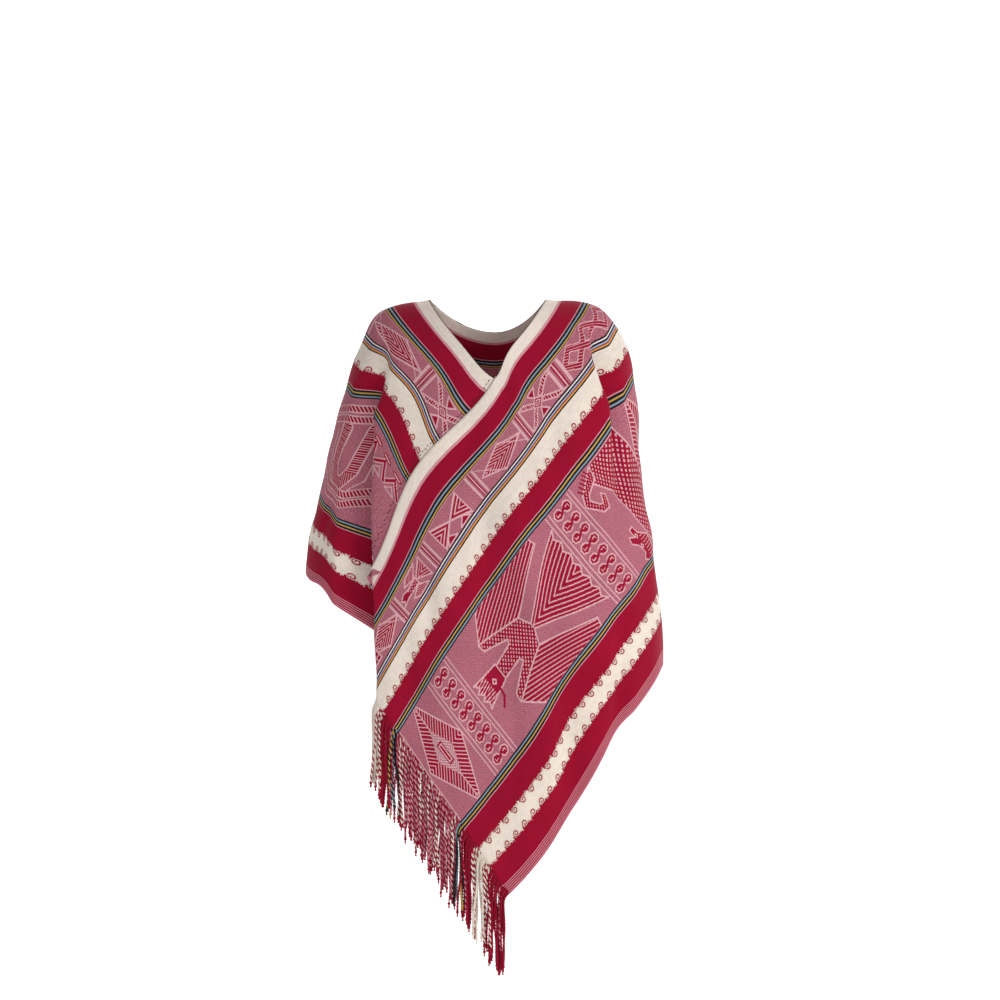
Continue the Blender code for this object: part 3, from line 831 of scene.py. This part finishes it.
def small_figure(chart, kind, along):
    """A figure of the narrow band."""
    chart.at(along, NARROW_MIDDLE)
    p, q = chart.p, chart.q
    if kind == "bars":
        for line in (-8, 8):
            chart.line([(line, -30), (line, 30)], 4.6)
        chart.line([(0, -30), (0, 30)], 6.5, DARK)
        chart.line([(0, -30), (0, 30)], 1.2)
    elif kind == "lozenge":
        chart.solid([(-44, 0), (-4, -20), (44, 0), (4, 20)],
                    chart.rows(np.minimum(p * 0.45 - q, p * 0.45 + q), 4.6, 0.32))
        chart.line([(-46, 18), (-6, -22)], 1.6)
        chart.line([(6, 22), (46, -18)], 1.6)
    elif kind == "hourglass":
        for way in (-1, 1):
            chart.solid([(0, 0), (40 * way, -21), (40 * way, 21)],
                        chart.rows(np.abs(p) * 0.5 - np.abs(q), 6.2, 0.34))
            chart.solid([(6 * way, 21), (22 * way, 11), (34 * way, 22)])
    elif kind == "bird":
        chart.solid([(-36, -20), (-6, -2), (-36, 20)], chart.rows(-p * 0.5 - np.abs(q), 5.0, 0.32))
        for way in (-1, 1):
            chart.solid([(-22, 22 * way), (-2, 6 * way), (20, 14 * way), (8, 22 * way)],
                        chart.rows(p + np.abs(q) * 1.6, 5.4, 0.3))
        chart.solid([(-6, -6), (18, -5), (30, -9), (42, -4), (36, 2), (42, 8), (28, 5), (-6, 6)],
                    chart.net(6.4) & (p < 20))
    elif kind == "cross":
        for way in (-1, 1):
            for end in (1, -1):
                chart.solid([(0, 0), (34 * end, 20 * way), (52 * end, 22 * way),
                             (20 * end, 3 * way)], chart.rows(p, 4.6, 0.3))
            chart.solid([(-13, 22 * way), (0, 9 * way), (13, 22 * way)])
        chart.solid([(-16, 0), (0, -9), (16, 0), (0, 9)])
        chart.line([(-8, 0), (0, -4), (8, 0), (0, 4), (-8, 0)], 2.0)
        chart.line([(-2, 0), (2, 0)], 1.6)
    elif kind == "plait":
        waves = [np.abs(q - sign * 16 * (np.abs(p / 29 % 2 - 1) * 2 - 1)) for sign in (-1, 1)]
        field = np.abs(p) < 44
        for wave in waves:
            chart.paint(field & (wave < 7.2), PALE)
        for wave in waves:
            strand = field & (wave < 5.2)
            chart.paint(strand, DARK)
            chart.paint(strand & chart.rows(p + q, 5.0, 0.28), PALE)
    elif kind == "squares":
        chart.solid([(-24, -16), (24, -16), (24, 16), (-24, 16)],
                    chart.rows(p + 24, 9.6, 0.24) | chart.rows(q + 16, 8.0, 0.24))


chart = Chart()
for along in (245, 592, 882, 1231):
    hooks_band(chart, along)
condor(chart, 1062)
condor(chart, 424)
big_lozenge(chart, 1306)
big_lozenge(chart, 666)
feline(chart, 764)
meander(chart, 152)
triangles(chart, 16, 228, 3)
triangles(chart, 30, 330, 2)
slanting_bars(chart, 40)
chart.band = FIGURED_BANDS[0]
SMALL_FIGURES = (
    (30, "cross"), (92, "bars"), (145, "lozenge"), (200, "bars"), (258, "hourglass"),
    (312, "bars"), (370, "bird"), (425, "bars"), (480, "plait"), (536, "bars"), (585, "squares"),
    (622, "bars"), (678, "plait"), (732, "bars"), (786, "cross"), (845, "bars"), (900, "lozenge"),
    (958, "bars"), (1034, "hourglass"), (1102, "bars"), (1158, "bird"), (1212, "bars"),
    (1262, "lozenge"), (1316, "squares"), (1348, "bars"),
)
for along, kind in SMALL_FIGURES:
    small_figure(chart, kind, along)


# How far the floats of each kind stand off the middle of the cloth.
CRIMSON_LIFT = HALF_THICKNESS + 0.00028
PALE_LIFT = HALF_THICKNESS + 0.00034
CREAM_SCROLL_LIFT = HALF_THICKNESS + 0.00026
CRIMSON_SCROLL_LIFT = HALF_THICKNESS + 0.00036


def floats(name, shade, finish, out):
    """The floats of one yarn, as runs of cells that lie on the cloth."""
    block = round(STEP / CELL)
    mask = chart.cells == shade
    rows, columns = mask.shape
    full = mask.reshape(rows // block, block, columns // block, block).all(axis=(1, 3))
    i, j = np.nonzero(full)
    runs = [np.stack([i, i + 1, j, j + 1], axis=1) * block]
    mask = mask & ~np.repeat(np.repeat(full, block, axis=0), block, axis=1)
    grown = np.pad(mask, ((1, 1), (0, 0)))
    cut = (np.arange(rows) % block == 0)[:, None]
    starts = np.argwhere((mask & (~grown[:-2] | cut)).T)
    ends = np.argwhere((mask & (~grown[2:] | np.roll(cut, -1, axis=0))).T)
    runs.append(np.stack([starts[:, 1], ends[:, 1] + 1, starts[:, 0], starts[:, 0] + 1], axis=1))
    a0, a1, b0, b1 = np.concatenate(runs).T
    corners = np.stack([a0, b0, a1, b0, a1, b1, a0, b1], axis=1).reshape(-1, 4, 2)
    keys, faces = np.unique(corners[..., 0] * (columns + 1) + corners[..., 1], return_inverse=True)
    place = np.stack([keys // (columns + 1), keys % (columns + 1)], axis=1) * CELL
    made = piece(name, laid(place[:, 0], place[:, 1], out), faces.reshape(-1, 4), place, finish)
    return made


crimson_yarn = plain_yarn("crimson_floats", CRIMSON_FLOATS)
figure_dark = floats("figures_crimson", DARK, crimson_yarn, CRIMSON_LIFT)
figure_pale = floats("figures_pale", PALE, plain_yarn("pale_floats", PALE_FLOATS, 0.3), PALE_LIFT)


# ---- The running-dog borders, in mm and radians ----
CURL_PLACE = 0.62             # where in each repeat a curl's middle lies
CURL_RISE = 2.4               # how far that middle lies from the edge
CURL_RADIUS, CURL_SHRINK = 5.6, 4.4
CURL_START, CURL_TURN = -0.9, 7.9
CURL_POINTS = 20


def borders(name, width, finish, out):
    """Curls along the scroll edges, each a spiral that rolls onto the cream."""
    places, faces = [], []
    count = 0
    t = np.linspace(0, 1, CURL_POINTS)
    spin = CURL_START + t * CURL_TURN
    radius = CURL_RADIUS - CURL_SHRINK * t ** 0.9
    taper = width * (0.3 + 0.7 * ease(t / 0.25)) * (1 - 0.25 * t)
    for edge, side in SCROLL_EDGES:
        for k in range(int(CLOTH_LENGTH / MM / SCROLL_PITCH)):
            start = SCROLL_PITCH * (k + CURL_PLACE)
            line = np.stack([start + radius * np.cos(spin),
                             edge - side * (CURL_RISE + radius * np.sin(spin))], axis=1)
            way = unit(np.gradient(line, axis=0))
            half = np.stack([-way[:, 1], way[:, 0]], axis=1) * (taper[:, None] / 2)
            places.append(np.stack([line - half, line + half], axis=1).reshape(-1, 2) * MM)
            base = count + 2 * np.arange(len(t) - 1)
            ring = np.stack([base, base + 1, base + 3, base + 2], axis=1)
            faces.append(ring[:, ::-1] if side > 0 else ring)
            count += 2 * len(t)
    places = np.concatenate(places)
    made = piece(name, laid(places[:, 0], places[:, 1], out), np.concatenate(faces), places, finish)
    return made


cream_yarn = plain_yarn("cream_floats", CREAM_FLOATS, 0.25)
scroll_pale = borders("scrolls_cream", 4.4, cream_yarn, CREAM_SCROLL_LIFT)
scroll_dark = borders("scrolls_crimson", 2.1, crimson_yarn, CRIMSON_SCROLL_LIFT)


# ---- The fringe: warp ends twisted in pairs, each with a knot ----
class Tubes:
    """Many small round tubes that become one piece."""

    def __init__(self):
        self.points, self.faces, self.places = [], [], []
        self.count = 0

    def add(self, path, radius, sides, places):
        """Rings of points round a path, with a place on the cloth for each ring, and caps."""
        way = unit(np.gradient(path, axis=0))
        across = unit(np.cross(way, (0.0, 1.0, 0.2)))
        up = np.cross(across, way)
        turn = np.linspace(0, 2 * pi, sides, endpoint=False)
        ring = (across[:, None] * np.cos(turn)[None, :, None]
                + up[:, None] * np.sin(turn)[None, :, None])
        points = path[:, None] + ring * np.asarray(radius, float)[:, None, None]
        numbers = np.arange(len(path) * sides).reshape(len(path), sides) + self.count
        after = np.roll(numbers, -1, axis=1)
        quads = np.stack([numbers[:-1], after[:-1], after[1:], numbers[1:]], axis=-1).reshape(-1, 4)
        self.points.append(points.reshape(-1, 3))
        self.faces.extend([*map(tuple, quads), tuple(numbers[0][::-1]), tuple(numbers[-1])])
        self.places.append(np.repeat(places, sides, axis=0))
        self.count += len(path) * sides

    def piece(self, name, finish):
        return piece(name, np.concatenate(self.points), self.faces, np.concatenate(self.places),
                     finish)


CORD_SPACING = 0.0027
CORD_STEP = 0.0026            # between the rings of a strand
CORD_BEND = 0.022             # over which a cord turns from the warp's way to straight down
PLY_RADIUS, PLY_OFFSET, PLY_PITCH = 0.00122, 0.00090, 0.0095
KNOT_RISE = (0.0022, 0.0012, 0.0, -0.0014, -0.0026, -0.0070)
KNOT_RADIUS = (0.0010, 0.0021, 0.0024, 0.0020, 0.0010, 0.0015)
# Places across the cloth, in metres, on stripes whose colours the cords take.
ON_CRIMSON, ON_PINK, ON_ROSE, ON_CREAM = 0.185, 0.0235, 0.297, 0.150
ON_LAST_CRIMSON, ON_HEM_LINES = 0.480, 0.518
HEM_LINES_START = 503         # mm from the neck edge


def cord_path(seed, k, length, root, way, outward):
    """A cord's middle line, which bends to hang straight down and sways a little."""
    lean = seed.normal(0, 0.035, 2)
    steps = np.linspace(0, length, int(length / CORD_STEP))
    turned = ease(steps / CORD_BEND)[:, None]
    heading = way * (1 - turned) + np.array([lean[0], lean[1] * 0.5, -1.0]) * turned
    wave = seed.uniform(0, 6, 2)
    path = root + np.concatenate([[np.zeros(3)], np.cumsum(
        (heading[1:] + heading[:-1]) / 2 * np.diff(steps)[:, None], axis=0)])
    path[:, 0] += 0.0011 * np.sin(steps * 62 + wave[0]) * ease(steps / 0.03)
    sway = (0.0016 * np.sin(steps * 47 + wave[1]) * ease(steps / 0.02)
            + (k % 3 - 1.0) * 0.0024 * ease(steps / 0.02))
    return steps, path + outward * sway[:, None]


def cord_yarns(seed, across, figured):
    """The places across the cloth whose colours a cord's two yarns have."""
    mm = across / MM
    if figured:
        return ON_CRIMSON, seed.choice([ON_PINK, ON_PINK, ON_ROSE, ON_CREAM])
    if mm > HEM_LINES_START:
        return ON_LAST_CRIMSON, ON_HEM_LINES
    if min(abs(mm - edge) for edge, _ in SCROLL_EDGES) < 6:
        return ON_CRIMSON, ON_CREAM
    return across, across + 0.0012


def fringe(finish):
    """All the twisted cords as one piece."""
    seed = np.random.default_rng(11)
    tubes = Tubes()
    starts = np.arange(0.0022, CLOTH_WIDTH - 0.001, CORD_SPACING)
    root = on_cloth(CLOTH_LENGTH - 0.001, starts)
    way = unit(root - on_cloth(CLOTH_LENGTH - 0.006, starts))
    outward = on_cloth(CLOTH_LENGTH, starts, 1.0) - on_cloth(CLOTH_LENGTH, starts)
    for k, across in enumerate(starts):
        figured = any(low < across / MM < high for low, high in FIGURED_BANDS)
        length = seed.uniform(0.112, 0.136) if figured else seed.uniform(0.116, 0.136)
        steps, path = cord_path(seed, k, length, root[k], way[k], outward[k])
        side = unit(np.cross(outward[k], (0, 0, 1.0)))
        phase = steps / PLY_PITCH * 2 * pi + seed.uniform(0, 6)
        yarns = cord_yarns(seed, across, figured)
        for ply, yarn in enumerate(yarns):
            angle = (phase + pi * ply)[:, None]
            strand = path + (side * np.cos(angle) + outward[k] * np.sin(angle)) * PLY_OFFSET
            tubes.add(strand, np.full(len(steps), PLY_RADIUS), 4,
                      np.stack([CLOTH_LENGTH + steps, np.full(len(steps), yarn)], axis=1))
        tubes.add(path[-1] + np.outer(KNOT_RISE, (0, 0, 1.0)), KNOT_RADIUS, 6,
                  np.tile([CLOTH_LENGTH + length, yarns[0]], (len(KNOT_RISE), 1)))
    made = tubes.piece("fringe_cords", finish)
    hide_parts("fringe")
    return made


cords = fringe(striped_cloth("fringe_cords", 0.6))


# ---- Sewing: the stitches that hold the plain end under the neck edge ----
STITCH_PITCH, STITCH_LENGTH = 0.0065, 0.0038
STITCH_RADIUS = (0.00035, 0.0006, 0.0006, 0.0006, 0.00035)


def stitches(finish):
    """Short dark stitches down the plain end, close beside the neck edge that laps over it."""
    tubes = Tubes()
    rings = len(STITCH_RADIUS)
    for k, across in enumerate(np.arange(0.006, 0.500, STITCH_PITCH)):
        line = np.linspace(across, across + STITCH_LENGTH, rings)
        along = np.full(rings, 0.0065 + 0.0006 * sin(3.1 * k))
        lift = HALF_THICKNESS + 0.0003 * np.sin(np.linspace(0, pi, rings))
        tubes.add(on_cloth(along, line, lift), STITCH_RADIUS, 6, np.stack([along, line], axis=1))
    made = tubes.piece("seam_stitches", finish)
    return made


thread = stitches(plain_yarn("seam_thread", SEWING_THREAD))

# ---- Floor, light and camera, in metres ----
FLOOR = -1.34
FLOOR_FRONT, WALL_FOOT = -7.0, 6.0
WALL_TOP = 8.0
BEND_RADIUS = 0.9
BACKDROP_HALF_WIDTH = 12.0
CAMERA_DISTANCE = 3.78
SEEN_WIDTH = 1.6              # what the camera sees across, at the garment
SENSOR = 36.0                 # mm


def backdrop():
    """A floor that curves up into a wall behind."""
    bend = [(WALL_FOOT + BEND_RADIUS * sin(t), FLOOR + BEND_RADIUS - BEND_RADIUS * cos(t))
            for t in np.linspace(0, pi / 2, 13)]
    profile = [(FLOOR_FRONT, FLOOR), (0.0, FLOOR), *bend, (WALL_FOOT + BEND_RADIUS, WALL_TOP)]
    points = [(x, y, z) for y, z in profile for x in (-BACKDROP_HALF_WIDTH, BACKDROP_HALF_WIDTH)]
    faces = [(2 * i, 2 * i + 1, 2 * i + 3, 2 * i + 2) for i in range(len(profile) - 1)]
    mesh = bpy.data.meshes.new("studio_floor")
    mesh.from_pydata(points, [], faces)
    mesh.shade_smooth()
    paint = bpy.data.materials.new("studio_paint")
    paint.use_nodes = True
    shader = paint.node_tree.nodes["Principled BSDF"]
    shader.inputs["Base Color"].default_value = (0.93, 0.93, 0.93, 1)
    shader.inputs["Roughness"].default_value = 0.9
    shader.inputs["Emission Color"].default_value = (1, 1, 1, 1)
    shader.inputs["Emission Strength"].default_value = 0.55
    mesh.materials.append(paint)
    made = placed("studio_floor", mesh)


def area_light(name, at, aim, size, watts):
    """A square light that points at a place."""
    lamp = bpy.data.lights.new(name, "AREA")
    lamp.energy, lamp.size = watts, size
    made = placed(name, lamp)
    made.location = at
    made.rotation_euler = (Vector(aim) - Vector(at)).to_track_quat("-Z", "Y").to_euler()


backdrop()
area_light("key", (2.3, -1.9, 0.9), (0.0, 0.0, -0.4), 1.3, 58)
area_light("fill", (-1.6, -2.8, 0.6), (0.0, 0.0, -0.5), 2.0, 10)
area_light("rear", (0.6, 1.6, 1.9), (0.0, 0.0, -0.3), 1.6, 30)
world = bpy.data.worlds.new("studio_air")
world.use_nodes = True
world.node_tree.nodes["Background"].inputs["Color"].default_value = (1, 1, 1, 1)
world.node_tree.nodes["Background"].inputs["Strength"].default_value = 0.34
bpy.context.scene.world = world
bpy.context.scene.view_settings.view_transform = "Standard"

lens = bpy.data.cameras.new("camera")
lens.sensor_width = SENSOR
lens.lens = SENSOR * CAMERA_DISTANCE / SEEN_WIDTH
camera = placed("camera", lens)
camera.location = (0.008, -CAMERA_DISTANCE, -0.32)
camera.rotation_euler = (radians(90), 0, 0)
bpy.context.scene.camera = camera
